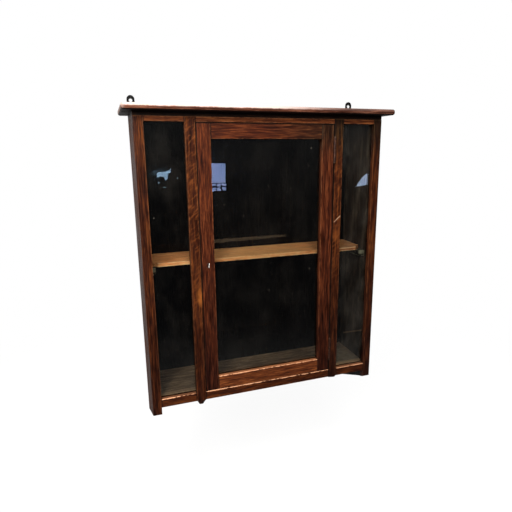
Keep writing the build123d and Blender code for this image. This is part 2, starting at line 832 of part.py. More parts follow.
with BuildPart() as plate_screws:
    for side_sign in (-1, 1):
        for height in plate_screw_heights:
            screw((side_sign * plate_x, 0, level(height)), (0, -1, 0), 20)
finish(plate_screws, "plate_screws")
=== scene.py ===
import math

import bpy
from mathutils import Matrix, Vector


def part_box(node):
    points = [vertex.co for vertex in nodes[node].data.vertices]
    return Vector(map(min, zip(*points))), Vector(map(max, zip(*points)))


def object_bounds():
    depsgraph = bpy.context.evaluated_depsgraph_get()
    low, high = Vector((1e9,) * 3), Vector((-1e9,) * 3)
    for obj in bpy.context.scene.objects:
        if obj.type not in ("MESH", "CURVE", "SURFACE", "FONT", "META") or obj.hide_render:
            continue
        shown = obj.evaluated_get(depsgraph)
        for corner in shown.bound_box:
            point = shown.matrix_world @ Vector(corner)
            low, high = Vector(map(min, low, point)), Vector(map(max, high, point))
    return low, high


# Looks for the glazed wall-hung bookcase: camera, studio and procedural materials.
# Everything is in metres, in the CAD frame: X to the right, Y back to the wall, Z up.

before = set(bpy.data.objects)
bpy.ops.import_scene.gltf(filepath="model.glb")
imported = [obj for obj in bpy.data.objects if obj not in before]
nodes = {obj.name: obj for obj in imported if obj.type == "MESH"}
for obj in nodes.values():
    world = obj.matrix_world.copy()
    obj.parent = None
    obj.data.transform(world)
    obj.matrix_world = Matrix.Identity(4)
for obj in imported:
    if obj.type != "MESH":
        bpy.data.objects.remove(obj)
cad_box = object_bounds()

# ---------------------------------------------------------------- camera and studio
CAMERA_PLACE = (-0.4841, -1.5401, -0.1645)
CAMERA_HEADING = math.radians(-19.19)
CAMERA_TILT = math.radians(76.71)
CAMERA_ROLL = math.radians(-0.447)
CAMERA_LENS = 31.416
CAMERA_SHIFT = (-0.01475, 0.00504)
FLOOR_DROP = 0.42               # the cabinet hangs this far above the floor
FLOOR_RADIUS = 6.0
WINDOW_DISTANCE = 2.5           # from the glass forward to the windows that it mirrors
WINDOW_STRENGTH = 13.5
SPECULAR_LEVEL = 0.1            # old wax on wood shines little

# ---------------------------------------------------------------- places taken from the CAD pieces
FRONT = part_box("stile_left")[0].y
SIDE_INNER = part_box("shelf_bearer_right")[1].x
LIP_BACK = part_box("door_glass")[0].y
FLOOR_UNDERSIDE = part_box("floor_board")[0].z


def make_camera():
    """The camera, to the left of the cabinet and above its middle."""
    data = bpy.data.cameras.new("camera")
    data.lens = CAMERA_LENS
    data.sensor_width = 36
    data.shift_x, data.shift_y = CAMERA_SHIFT
    data.clip_start = 0.01
    camera = bpy.data.objects.new("camera", data)
    turn = (
        Matrix.Rotation(CAMERA_HEADING, 4, "Z")
        @ Matrix.Rotation(CAMERA_TILT, 4, "X")
        @ Matrix.Rotation(CAMERA_ROLL, 4, "Z")
    )
    camera.matrix_world = Matrix.Translation(CAMERA_PLACE) @ turn
    bpy.context.scene.collection.objects.link(camera)
    bpy.context.scene.camera = camera


def area_light(name, place, target, size, power, colour=(1, 1, 1)):
    """A soft rectangular light at place that faces target."""
    data = bpy.data.lights.new(name, "AREA")
    data.shape = "RECTANGLE"
    data.size, data.size_y = size
    data.energy = power
    data.color = colour
    light = bpy.data.objects.new(name, data)
    light.location = place
    aim = Vector(target) - Vector(place)
    light.rotation_mode = "QUATERNION"
    light.rotation_quaternion = aim.to_track_quat("-Z", "Y")
    bpy.context.scene.collection.objects.link(light)


# ---------------------------------------------------------------- node helper
def linear(red, green, blue):
    """A colour given as 0-255 display values, as the linear values that shaders take."""
    return tuple((c / 255) ** 2.2 for c in (red, green, blue)) + (1.0,)


class Graph:
    """One node tree, with a short call for each kind of node it uses."""

    def __init__(self, tree):
        self.tree = tree
        tree.nodes.clear()

    def add(self, kind, **settings):
        node = self.tree.nodes.new(kind)
        for name, value in settings.items():
            setattr(node, name, value)
        return node

    def feed(self, socket, value):
        """Link value to socket if it is a node's output, and set it there if it is a number."""
        if isinstance(value, bpy.types.NodeSocket):
            self.tree.links.new(value, socket)
        else:
            socket.default_value = value

    def place(self, scale=(1, 1, 1), offset=(0, 0, 0), lean=0.0):
        """A point's place on the piece in the CAD frame, leaned about Y, scaled and shifted."""
        here = self.add("ShaderNodeTexCoord").outputs["Object"]
        if lean:
            turn = self.add("ShaderNodeVectorRotate", rotation_type="Y_AXIS")
            self.feed(turn.inputs["Vector"], here)
            turn.inputs["Angle"].default_value = lean
            here = turn.outputs[0]
        mapping = self.add("ShaderNodeMapping")
        self.feed(mapping.inputs["Vector"], here)
        mapping.inputs["Scale"].default_value = scale
        mapping.inputs["Location"].default_value = offset
        return mapping.outputs[0]

    def math(self, operation, *values, clamp=False):
        node = self.add("ShaderNodeMath", operation=operation, use_clamp=clamp)
        for socket, value in zip(node.inputs, values):
            self.feed(socket, value)
        return node.outputs[0]

    def vector(self, operation, *values):
        node = self.add("ShaderNodeVectorMath", operation=operation)
        for socket, value in zip(node.inputs, values):
            self.feed(socket, value)
        return node.outputs["Value" if operation in ("LENGTH", "DOT_PRODUCT") else "Vector"]

    def noise(self, where, scale, detail=2.0, roughness=0.5, colour=False):
        node = self.add("ShaderNodeTexNoise")
        self.feed(node.inputs["Vector"], where)
        node.inputs["Scale"].default_value = scale
        node.inputs["Detail"].default_value = detail
        node.inputs["Roughness"].default_value = roughness
        return node.outputs["Color" if colour else "Fac"]

    def span(self, value, low, high, to_low=0.0, to_high=1.0):
        """Map low..high smoothly to to_low..to_high, and hold it outside."""
        node = self.add("ShaderNodeMapRange", interpolation_type="SMOOTHSTEP")
        for socket, part in zip(node.inputs, (value, low, high, to_low, to_high)):
            self.feed(socket, part)
        return node.outputs[0]

    def ramp(self, value, stops):
        """A colour ramp through (position, colour) stops."""
        node = self.add("ShaderNodeValToRGB")
        self.feed(node.inputs[0], value)
        elements = node.color_ramp.elements
        while len(elements) < len(stops):
            elements.new(0.5)
        for element, (position, colour) in zip(elements, stops):
            element.position = position
            element.color = colour
        return node.outputs["Color"]

    def blend(self, factor, under, over, mode="MIX"):
        node = self.add("ShaderNodeMix", data_type="RGBA", blend_type=mode)
        self.feed(node.inputs[0], factor)
        self.feed(node.inputs[6], under)
        self.feed(node.inputs[7], over)
        return node.outputs[2]

    def split(self, vector):
        node = self.add("ShaderNodeSeparateXYZ")
        self.feed(node.inputs[0], vector)
        return node.outputs

    def along(self, axis):
        """A point's X, Y or Z in the CAD frame."""
        return self.split(self.place())[axis]

    def mix_shaders(self, factor, first, second):
        """Mix the shaders of two nodes."""
        node = self.add("ShaderNodeMixShader")
        self.feed(node.inputs[0], factor)
        self.feed(node.inputs[1], first.outputs[0])
        self.feed(node.inputs[2], second.outputs[0])
        return node

    def bump(self, height, strength, distance):
        node = self.add("ShaderNodeBump")
        node.inputs["Strength"].default_value = strength
        node.inputs["Distance"].default_value = distance
        self.feed(node.inputs["Height"], height)
        return node.outputs[0]


def blank_material(name):
    """A new material, with its graph and its output node."""
    material = bpy.data.materials.new(name)
    material.use_nodes = True
    graph = Graph(material.node_tree)
    return material, graph, graph.add("ShaderNodeOutputMaterial")


def start_material(name):
    """A new material with its graph, and a Principled shader linked to the output."""
    material, graph, output = blank_material(name)
    shader = graph.add("ShaderNodeBsdfPrincipled")
    graph.feed(output.inputs["Surface"], shader.outputs[0])
    return material, graph, shader


def edge_distance(graph, box):
    """How far a point on a block-shaped piece is from the nearest edge of its box."""
    low, high = box
    here = graph.place()
    from_low = graph.vector("SUBTRACT", here, low)
    from_high = graph.vector("SUBTRACT", high, here)
    x, y, z = graph.split(graph.vector("MINIMUM", from_low, from_high))
    total = graph.math("ADD", graph.math("ADD", x, y), z)
    most = graph.math("MAXIMUM", graph.math("MAXIMUM", x, y), z)
    return graph.math("SUBTRACT", total, most)


def top_arris_distance(graph, box):
    """How far a point is from the piece's upper front arris."""
    low, high = box
    behind = graph.math("SUBTRACT", graph.along("Y"), low.y)
    below = graph.math("SUBTRACT", high.z, graph.along("Z"))
    return graph.math("ADD", graph.math("ABSOLUTE", behind), graph.math("ABSOLUTE", below))


def scratch(graph, start, end, width):
    """A mask that is 1 along the line from start to end and 0 beyond its width."""
    start, end = Vector(start), Vector(end)
    line = end - start
    from_start = graph.vector("SUBTRACT", graph.place(), start)
    share = graph.math("DIVIDE", graph.vector("DOT_PRODUCT", from_start, line), line.length_squared)
    share = graph.math("MULTIPLY", share, 1.0, clamp=True)
    foot = graph.add("ShaderNodeVectorMath", operation="SCALE")
    foot.inputs[0].default_value = line
    graph.feed(foot.inputs["Scale"], share)
    away = graph.vector("LENGTH", graph.vector("SUBTRACT", from_start, foot.outputs[0]))
    return graph.span(away, 0.4 * width, width, 1.0, 0.0)


def patch(graph, centre, radii):
    """A soft mask that is 1 at centre and 0 beyond the radii."""
    from_centre = graph.vector("SUBTRACT", graph.place(), centre)
    reach = graph.vector("LENGTH", graph.vector("DIVIDE", from_centre, radii))
    return graph.span(reach, 0.3, 1.0, 1.0, 0.0)


# ---------------------------------------------------------------- wood
class Tones:
    """The colours of one sort of wood."""

    def __init__(self, dark, middle, light, worn, pore):
        self.dark, self.middle, self.light, self.worn, self.pore = dark, middle, light, worn, pore


DARK_OAK = Tones(
    dark=linear(23, 11, 5),
    middle=linear(50, 23, 10),
    light=linear(93, 51, 22),
    worn=linear(100, 61, 36),
    pore=linear(12, 5, 3),
)
RED_OAK = Tones(
    dark=linear(25, 11, 5),
    middle=linear(57, 26, 13),
    light=linear(104, 55, 30),
    worn=linear(106, 64, 40),
    pore=linear(13, 5, 3),
)
TOP_OAK = Tones(
    dark=linear(38, 19, 11),
    middle=linear(81, 42, 23),
    light=linear(125, 74, 40),
    worn=linear(127, 81, 53),
    pore=linear(19, 10, 6),
)
CREST_OAK = Tones(
    dark=linear(40, 20, 14),
    middle=linear(78, 44, 32),
    light=linear(126, 84, 66),
    worn=linear(130, 92, 74),
    pore=linear(16, 9, 7),
)
# Partly painted light: the shelf's tones are raised above the wood's own to stand in for the light that
# reaches it through the glass.
SHELF_OAK = Tones(
    dark=linear(180, 112, 70),
    middle=linear(246, 150, 92),
    light=linear(255, 186, 128),
    worn=linear(255, 214, 162),
    pore=linear(136, 84, 48),
)
# Partly painted light, as for the shelf: raised above the wood's own tone.
FLOOR_OAK = Tones(
    dark=linear(74, 58, 47),
    middle=linear(126, 102, 83),
    light=linear(182, 149, 121),
    worn=linear(200, 170, 142),
    pore=linear(45, 35, 27),
)
BACK_OAK = Tones(
    dark=linear(9, 8, 8),
    middle=linear(15, 13, 12),
    light=linear(26, 22, 19),
    worn=linear(50, 42, 36),
    pore=linear(5, 5, 5),
)
BEARER_OAK = Tones(
    dark=linear(34, 29, 24),
    middle=linear(50, 44, 36),
    light=linear(70, 62, 50),
    worn=linear(150, 142, 118),
    pore=linear(24, 20, 16),
)
BEAD_OAK = Tones(
    dark=linear(18, 11, 8),
    middle=linear(34, 22, 15),
    light=linear(58, 38, 25),
    worn=linear(72, 50, 36),
    pore=linear(10, 7, 5),
)

FIBRE_STRETCH = 0.05           # how much slower wood changes along its fibres than across them
FIGURE_STRETCH = 0.14


def oak(name, box, grain, seed, tones, wear=0.0016, gloss=0.4, streak=0.9, relief=0.35, details=()):
    """Oak with growth figure, fibre streaks, open pores, worn edges and old wax."""
    material, g, shader = start_material(name)
    along = "XYZ".index(grain)
    stretch = [1.0, 1.0, 1.0]
    stretch[along] = FIBRE_STRETCH
    figure_stretch = [1.0, 1.0, 1.0]
    figure_stretch[along] = FIGURE_STRETCH
    offset = (0.37 * seed, 0.61 * seed, 0.83 * seed)
    fibre = g.place(stretch, offset)
    drift = g.noise(fibre, 7, 2, colour=True)
    bent = g.vector("ADD", fibre, g.vector("MULTIPLY", drift, (0.014, 0.014, 0.014)))
    streaks = g.noise(bent, 330, 3, 0.6)
    lines = g.noise(bent, 620, 2, 0.5)
    hills = g.noise(g.place(figure_stretch, offset), 11, 0.6, 0.4)
    figure = g.math("SINE", g.math("MULTIPLY", hills, 62))
    figure = g.math("MULTIPLY_ADD", figure, 0.03, g.math("MULTIPLY", lines, 0.3))
    value = g.math("MULTIPLY_ADD", streaks, 0.7, figure)
    value = g.math("MULTIPLY_ADD", g.math("SUBTRACT", value, 0.5), streak, 0.5)
    colour = g.ramp(value, [(0.37, tones.dark), (0.5, tones.middle), (0.66, tones.light)])

    clouds = g.noise(g.place((1, 1, 1), offset), 6, 3, 0.55)
    shade = g.ramp(clouds, [(0.3, (0.68, 0.66, 0.66, 1)), (0.7, (1.25, 1.2, 1.12, 1))])
    colour = g.blend(0.8, colour, shade, "MULTIPLY")

    pores = g.span(g.noise(bent, 1300, 1, 0.5), 0.60, 0.70)
    colour = g.blend(g.math("MULTIPLY", pores, 0.75), colour, tones.pore)

    chips = g.noise(g.place((1, 1, 1), offset), 60, 4, 0.7)
    width = g.span(chips, 0.35, 0.7, 0.2 * wear, 2.2 * wear)
    edge = g.math("DIVIDE", edge_distance(g, box), width)
    rubbed = g.span(edge, 0.5, 1.1, 0.6, 0.0)
    colour = g.blend(rubbed, colour, tones.worn)

    for detail in details:
        colour = detail(g, colour, chips, box)

    g.feed(shader.inputs["Base Color"], colour)
    shader.inputs["Specular IOR Level"].default_value = SPECULAR_LEVEL
    dull = g.math("MULTIPLY_ADD", pores, 0.25, g.span(clouds, 0.3, 0.7, gloss - 0.06, gloss + 0.1))
    dull = g.math("ADD", dull, g.span(streaks, 0.4, 0.65, 0.0, gloss))
    g.feed(shader.inputs["Roughness"], dull)
    height = g.math("SUBTRACT", g.math("MULTIPLY", streaks, 0.5), g.math("MULTIPLY", pores, 0.6))
    g.feed(shader.inputs["Normal"], g.bump(height, relief, 0.0006))
    return material


# Each detail is, or returns, a function of (graph, colour, chips, box) that gives the new colour.
def worn_and_lit_top(strength, fade=1.0):
    """Paint the upper front arris pale, as wear and painted highlight, broken by chips and fading to a
    share at the right.
    """
    def paint(g, colour, chips, box):
        reach = g.span(chips, 0.4, 0.62, 0.0005, 0.003)
        near = g.math("DIVIDE", top_arris_distance(g, box), reach)
        share = g.span(g.along("X"), -0.2, 0.3, strength, strength * fade)
        worn_and_lit = g.math("MULTIPLY", g.span(near, 0.6, 1.2, 1.0, 0.0), share)
        return g.blend(worn_and_lit, colour, linear(206, 150, 114))
    return paint


def worn_and_lit_lip(strength, tone):
    """Paint pale the upward face in front of the glass, as wear and painted highlight."""
    def paint(g, colour, chips, box):
        below = g.math("SUBTRACT", box[1].z, g.along("Z"))
        upward = g.span(below, 0.0002, 0.0010, 1.0, 0.0)
        ragged = g.math("MULTIPLY_ADD", chips, 0.012, g.along("Y"))
        lip = g.span(ragged, LIP_BACK + 0.002, LIP_BACK + 0.008, 1.0, 0.0)
        worn_and_lit = g.math("MULTIPLY", g.math("MULTIPLY", upward, lip), strength)
        return g.blend(worn_and_lit, colour, tone)
    return paint


def ray_flecks(strength, low, high):
    """Slanting medullary ribbons of lighter wood, between two heights."""
    def paint(g, colour, chips, box):
        place = g.place((34, 34, 150), (3.1, 0, 7.7), lean=0.7)
        drift = g.vector("MULTIPLY", g.noise(g.place(), 26, 2, colour=True), (0, 0, 2.2))
        rays = g.span(g.noise(g.vector("ADD", place, drift), 1.0, 3, 0.65), 0.48, 0.68)
        z = g.along("Z")
        above = g.span(z, low - 0.12, low, 0.25, 1.0)
        where = g.math("MULTIPLY", above, g.span(z, high, high + 0.1, 1.0, 0.4))
        lit = g.math("MULTIPLY", g.math("MULTIPLY", rays, where), strength)
        return g.blend(lit, colour, linear(150, 84, 42))
    return paint


def light_patch(centre, radii, tone, strength):
    """A paler patch in the wood."""
    def paint(g, colour, chips, box):
        mask = g.math("MULTIPLY", patch(g, centre, radii), g.span(chips, 0.3, 0.6, 0.3, strength))
        return g.blend(mask, colour, tone)
    return paint


def pale_scratch_and_painted_glint(start, end, width, strength, tone=linear(196, 156, 124)):
    """One pale stroke: a scratch in the wood, and on the escutcheon a painted glint."""
    def paint(g, colour, chips, box):
        mask = g.math("MULTIPLY", scratch(g, start, end, width), g.span(chips, 0.3, 0.55, 0.4, strength))
        return g.blend(mask, colour, tone)
    return paint


def painted_shade_towards(axis, clear, dark, shade):
    """Paint shade into the wood along an axis, from nothing at clear to the full shade at dark."""
    def paint(g, colour, chips, box):
        return g.blend(g.span(g.along(axis), clear, dark), colour, shade, "MULTIPLY")
    return paint


def dark_lines(*planes, reach=0.0036):
    """Draw dark lines along planes given as (axis, place): glue and dirt in the joints, and painted
    shadow in the gaps.
    """
    def paint(g, colour, chips, box):
        here = g.split(g.place())
        nearest = 1.0
        for axis, level in planes:
            away = g.math("ABSOLUTE", g.math("SUBTRACT", here[axis], level))
            nearest = g.math("MINIMUM", away, nearest)
        return g.blend(g.span(nearest, reach / 3, reach, 0.92, 0.0), colour, linear(8, 5, 4))
    return paint


def bare_rear(g, colour, chips, box):
    """Leave the face towards the wall as plain unstained boards, brown with dust."""
    rear = g.span(g.along("Y"), box[1].y - 0.0012, box[1].y - 0.0006)
    grain = g.noise(g.place((1, 1, 0.06), (box[0].x, 0, 0)), 150, 4, 0.6)
    stains = g.noise(g.place(), 4, 4, 0.6)
    bare_wood = [(0.34, linear(62, 46, 33)), (0.5, linear(92, 71, 53)), (0.66, linear(122, 97, 74))]
    tone = g.ramp(grain, bare_wood)
    tone = g.blend(g.span(stains, 0.45, 0.7, 0.0, 0.6), tone, linear(50, 39, 31))
    return g.blend(rear, colour, tone)


def painted_underside_shade(g, colour, chips, box):
    """Paint downward faces nearly black as painted shade."""
    upward = g.split(g.add("ShaderNodeNewGeometry").outputs["Normal"])["Z"]
    return g.blend(g.span(upward, -0.8, -0.4, 0.9, 0.0), colour, linear(14, 10, 9))


def dusty_inside_and_painted_shade(g, colour, chips, box):
    """Turn a side panel grey-brown on its inner face, with faint wipe marks, and paint it nearly black
    below the floor as painted shade.
    """
    outward = g.math("ABSOLUTE", g.along("X"))
    inside = g.span(outward, SIDE_INNER + 0.0004, SIDE_INNER + 0.0012, 1.0, 0.0)
    wiped = g.noise(g.place((1, 5, 1)), 7, 4, 0.65)
    dust = [(0.32, linear(43, 36, 31)), (0.5, linear(62, 53, 46)), (0.68, linear(102, 89, 77))]
    colour = g.blend(g.math("MULTIPLY", inside, 0.86), colour, g.ramp(wiped, dust))
    # Painted shade: the inner face goes nearly black below the floor board.
    painted_shade_below_floor = g.span(g.along("Z"), FLOOR_UNDERSIDE - 0.003, FLOOR_UNDERSIDE, 1.0, 0.0)
    return g.blend(g.math("MULTIPLY", inside, painted_shade_below_floor), colour, linear(8, 6, 6))


def pale_crest(g, colour, chips, box):
    """Paint the top board's upper rounding pale, most on the left, as wear and painted highlight, and
    turn its left end pale grey.
    """
    low, top = box
    x = g.along("X")
    ragged_height = g.math("MULTIPLY_ADD", chips, 0.006, g.along("Z"))
    high = g.span(ragged_height, top.z - 0.0062, top.z - 0.0018)
    ragged_depth = g.math("MULTIPLY_ADD", chips, 0.004, g.along("Y"))
    forward = g.span(ragged_depth, low.y + 0.006, low.y + 0.012, 1.0, 0.0)
    share = g.span(x, -0.05, 0.28, 0.95, 0.08)
    worn_and_lit = g.math("MULTIPLY", g.math("MULTIPLY", high, forward), share)
    colour = g.blend(worn_and_lit, colour, linear(190, 168, 160))
    left_end = g.span(x, low.x + 0.002, low.x + 0.014, 1.0, 0.0)
    pale_left_end = g.math("MULTIPLY", left_end, g.span(chips, 0.35, 0.6, 0.2, 0.9))
    return g.blend(pale_left_end, colour, linear(150, 132, 124))


def pale_nose(g, colour, chips, box):
    """Leave a bearer's rounded front end pale grey on its upper part."""
    ragged = g.math("MULTIPLY_ADD", chips, 0.006, g.along("Y"))
    nose = g.span(ragged, box[0].y + 0.008, box[0].y + 0.014, 0.85, 0.0)
    upper = g.span(g.along("Z"), box[1].z - 0.016, box[1].z - 0.009)
    return g.blend(g.math("MULTIPLY", nose, upper), colour, linear(146, 138, 116))


def pale_front_strip(g, colour, chips, box):
    """Lighten the floor to tan along its front, mostly at the right."""
    ragged = g.math("MULTIPLY_ADD", chips, -0.008, g.along("Y"))
    strip = g.span(ragged, box[0].y + 0.008, box[0].y + 0.015, 1.0, 0.0)
    share = g.span(g.along("X"), -0.1, 0.3, 0.3, 0.95)
    return g.blend(g.math("MULTIPLY", strip, share), colour, linear(222, 176, 136))


# ---------------------------------------------------------------- metal and glass
EVEN_CHIPS = 0.5                # metal has no chips to break up its details


def metal(name, base, stain, bright, roughness=0.38, metallic=0.9, specular=0.5, details=()):
    """Old metal: blotched with tarnish and with brighter patches."""
    material, g, shader = start_material(name)
    here = g.place()
    blotch = g.noise(here, 160, 4, 0.6)
    colour = g.ramp(blotch, [(0.36, stain), (0.56, base), (0.74, bright)])
    specks = g.noise(here, 900, 2, 0.6)
    colour = g.blend(g.span(specks, 0.55, 0.7, 0.0, 0.6), colour, stain)
    for detail in details:
        colour = detail(g, colour, EVEN_CHIPS, None)
    g.feed(shader.inputs["Base Color"], colour)
    shader.inputs["Metallic"].default_value = metallic
    shader.inputs["Specular IOR Level"].default_value = specular
    g.feed(shader.inputs["Roughness"], g.span(blotch, 0.35, 0.7, roughness + 0.2, roughness))
    g.feed(shader.inputs["Normal"], g.bump(specks, 0.3, 0.0003))
    return material


def old_glass(name, dirt):
    """Thin drawn glass: clear, faintly rippled, with smears and specks of dust."""
    material, g, output = blank_material(name)
    clear = g.add("ShaderNodeBsdfTransparent")
    clear.inputs["Color"].default_value = (0.93, 0.955, 0.94, 1)
    mirror = g.add("ShaderNodeBsdfAnisotropic")
    mirror.inputs["Roughness"].default_value = 0.005
    ripples = g.noise(g.place((1, 1, 0.45)), 9, 0, 0.5)
    g.feed(mirror.inputs["Normal"], g.bump(ripples, 0.4, 0.0001))
    fresnel = g.add("ShaderNodeFresnel")
    fresnel.inputs["IOR"].default_value = 1.35
    shine = g.mix_shaders(fresnel.outputs[0], clear, mirror)
    dust = g.add("ShaderNodeBsdfDiffuse")
    dust.inputs["Color"].default_value = linear(192, 180, 166)
    smear = g.noise(g.place((1, 1, 0.6)), 14, 4, 0.65)
    specks = g.span(g.noise(g.place(), 130, 0, 0.5), 0.845, 0.88, 0.0, 0.16)
    wiped = g.span(smear, 0.38, 0.75, 0.0, dirt)
    film = g.mix_shaders(g.math("MAXIMUM", specks, wiped), shine, dust)
    g.feed(output.inputs["Surface"], film.outputs[0])
    return material


# ---------------------------------------------------------------- studio
def make_world():
    """White all round for the camera, and a soft dome, darker in front, for the light."""
    world = bpy.data.worlds.new("studio")
    bpy.context.scene.world = world
    world.use_nodes = True
    g = Graph(world.node_tree)
    output = g.add("ShaderNodeOutputWorld")
    seen = g.add("ShaderNodeBackground")
    seen.inputs["Color"].default_value = (1, 1, 1, 1)
    dome = g.add("ShaderNodeBackground")
    direction = g.split(g.add("ShaderNodeTexCoord").outputs["Generated"])
    height = g.span(direction["Z"], -0.2, 0.9)
    behind = g.span(direction["Y"], -0.5, 0.6)
    from_below = g.span(direction["Z"], -0.6, -0.18, 0.12, 0.66)
    level = g.math("MAXIMUM", height, g.math("MULTIPLY", behind, from_below))
    colour = g.ramp(level, [(0.0, (0.045, 0.045, 0.05, 1)), (1.0, (1.0, 1.0, 1.0, 1))])
    g.feed(dome.inputs["Color"], colour)
    dome.inputs["Strength"].default_value = 1.0
    path = g.add("ShaderNodeLightPath")
    mix = g.mix_shaders(path.outputs["Is Camera Ray"], dome, seen)
    g.feed(output.inputs["Surface"], mix.outputs[0])


def make_floor():
    """A pale round floor that fades out into the white surroundings."""
    data = bpy.data.meshes.new("floor_disc")
    level = cad_box[0].z - FLOOR_DROP
    count = 96
    ring = [
        (FLOOR_RADIUS * math.cos(turn), FLOOR_RADIUS * math.sin(turn), level)
        for turn in (step * math.tau / count for step in range(count))
    ]
    data.from_pydata(ring, [], [tuple(range(count))])
    floor = bpy.data.objects.new("floor_disc", data)
    bpy.context.scene.collection.objects.link(floor)
    material, g, output = blank_material("pale_floor")
    matt = g.add("ShaderNodeBsdfDiffuse")
    matt.inputs["Color"].default_value = (0.86, 0.86, 0.86, 1)
    clear = g.add("ShaderNodeBsdfTransparent")
    out_from_middle = g.vector("LENGTH", g.vector("MULTIPLY", g.place(), (1, 1, 0)))
    fade = g.mix_shaders(g.span(out_from_middle, 0.3, 2.4, 0.82, 1.0), matt, clear)
    g.feed(output.inputs["Surface"], fade.outputs[0])
    data.materials.append(material)


def mirrored_window(name, panes, glow):
    """Glowing panes in front of the cabinet that only show as reflections in its glass."""
    corners = []
    faces = []
    for pane in panes:
        faces.append(tuple(range(len(corners), len(corners) + len(pane))))
        corners += [(x, LIP_BACK - WINDOW_DISTANCE, z) for x, z in pane]
    data = bpy.data.meshes.new(name)
    data.from_pydata(corners, [], faces)
    window = bpy.data.objects.new(name, data)
    bpy.context.scene.collection.objects.link(window)
    material, g, output = blank_material(name)
    light = g.add("ShaderNodeEmission")
    sky = g.noise(g.place((1, 1, 1)), 16, 3, 0.6)
    red, green, blue = glow
    dim = (0.72 * red, 0.78 * green, 0.82 * blue, 1)
    g.feed(light.inputs["Color"], g.ramp(sky, [(0.4, dim), (0.6, (red, green, blue, 1))]))
    light.inputs["Strength"].default_value = WINDOW_STRENGTH
    g.feed(output.inputs["Surface"], light.outputs[0])
    data.materials.append(material)
    window.visible_camera = False
    window.visible_diffuse = False
    window.visible_shadow = False
    window.visible_transmission = False


def pane(x0, x1, z0, z1):
    """The corners of an upright rectangle."""
    return [(x0, z0), (x1, z0), (x1, z1), (x0, z1)]


def make_windows():
    """A tall window with a lattice, sky through trees, a slanted window and a dim far ledge."""
    tall = [pane(0.385, 0.508, -0.412, -0.25)]
    lattice_pitch, lattice_pane = 0.046, 0.034
    for step in range(3):
        left = 0.386 + lattice_pitch * step
        right = left + lattice_pane
        tall += [pane(left, right, -0.444, -0.421), pane(left, right, -0.484, -0.455)]
    mirrored_window("tall_window", tall, (0.42, 0.52, 0.95))
    branches = [
        (-0.08, -0.36), (-0.075, -0.318), (0.0, -0.308), (0.045, -0.29), (0.034, -0.32), (0.014, -0.334),
        (0.008, -0.366), (-0.012, -0.384), (-0.022, -0.352), (-0.045, -0.344), (-0.058, -0.352),
    ]
    spots = [
        [(0.086, -0.372), (0.1, -0.37), (0.093, -0.354)],
        [(-0.073, -0.402), (-0.06, -0.404), (-0.066, -0.393)],
        [(-0.026, -0.442), (-0.014, -0.44), (-0.019, -0.424)],
    ]
    mirrored_window("sky_through_trees", [branches] + spots, (0.5, 0.72, 1.0))
    slanted = [(1.81, -0.488), (1.935, -0.476), (1.965, -0.37), (1.905, -0.372)]
    mirrored_window("slanted_window", [slanted], (0.5, 0.6, 0.85))
    ledge = [(0.34, -0.948), (1.08, -0.934), (1.08, -0.911), (0.34, -0.909)]
    mirrored_window("far_ledge", [ledge], (0.085, 0.055, 0.033))


make_camera()
make_world()
make_floor()
make_windows()
bpy.context.scene.view_settings.view_transform = "Standard"
area_light("key", (-0.7, -1.9, 1.7), (0, -0.2, -0.5), (1.6, 1.0), 135, (1.0, 0.98, 0.95))
area_light("front_fill", (-1.5, -1.9, 0.5), (0, -0.2, -0.4), (1.2, 0.6), 58, (1.0, 0.98, 0.95))
area_light("side_wash", (-1.6, 0.7, 0.35), (-0.4, -0.1, -0.3), (0.6, 0.8), 5, (0.96, 0.98, 1.0))


# ---------------------------------------------------------------- finishes on the CAD pieces
def dress(name, material):
    """Give a CAD node its material."""
    for slot in nodes[name].material_slots:
        slot.material = material


def dress_oak(name, grain, seed, tones, **details):
    """Give a CAD node its own oak, its grain running along one axis."""
    dress(name, oak(f"{name}_oak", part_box(name), grain, seed, tones, **details))


# Painted shade: darker towards the feet, under the overhang at the top, and towards the right, where
# less light falls.
painted_foot_shade = painted_shade_towards("Z", -0.35, -0.99, (0.42, 0.38, 0.42, 1))
painted_foot_faint_shade = painted_shade_towards("Z", -0.35, -0.99, (0.62, 0.56, 0.58, 1))
painted_overhang_shade = painted_shade_towards("Z", -0.22, -0.09, (0.42, 0.7, 0.95, 1))
painted_rail_shade = painted_shade_towards("X", -0.05, 0.2, (0.58, 0.85, 1.0, 1))
painted_crest_shade = painted_shade_towards("X", -0.05, 0.3, (0.62, 0.64, 0.66, 1))
painted_door_shade = painted_shade_towards("Z", -0.35, -0.93, (0.5, 0.44, 0.44, 1))
post_details = {
    "stile_left": [painted_foot_faint_shade],
    "stile_right": [painted_foot_shade, painted_overhang_shade],
    "mullion_left": [
        ray_flecks(0.22, -0.6, -0.1),
        light_patch((-0.232, FRONT, -0.604), (0.014, 0.02, 0.04), linear(138, 80, 36), 0.8),
        painted_foot_faint_shade,
    ],
    "mullion_right": [
        ray_flecks(0.18, -0.52, -0.16),
        light_patch((0.238, FRONT, -0.44), (0.014, 0.02, 0.03), linear(128, 70, 34), 0.3),
        painted_foot_shade,
        painted_overhang_shade,
        pale_scratch_and_painted_glint((0.232, FRONT, -0.3924), (0.254, FRONT, -0.3732), 0.0016, 0.7),
        pale_scratch_and_painted_glint((0.268, FRONT, -0.817), (0.279, FRONT, -0.8175), 0.0022, 0.9),
        pale_scratch_and_painted_glint((0.279, FRONT, -0.8175), (0.292, FRONT, -0.809), 0.0022, 0.9),
        # Painted shadow and grime along the gap beside the door, on the mullion's left face.
        dark_lines(("X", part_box("mullion_right")[0].x), reach=0.0024),
    ],
}
for seed, name in enumerate(post_details):
    dress_oak(name, "Z", 3.1 + seed, DARK_OAK, details=post_details[name] + [painted_underside_shade])
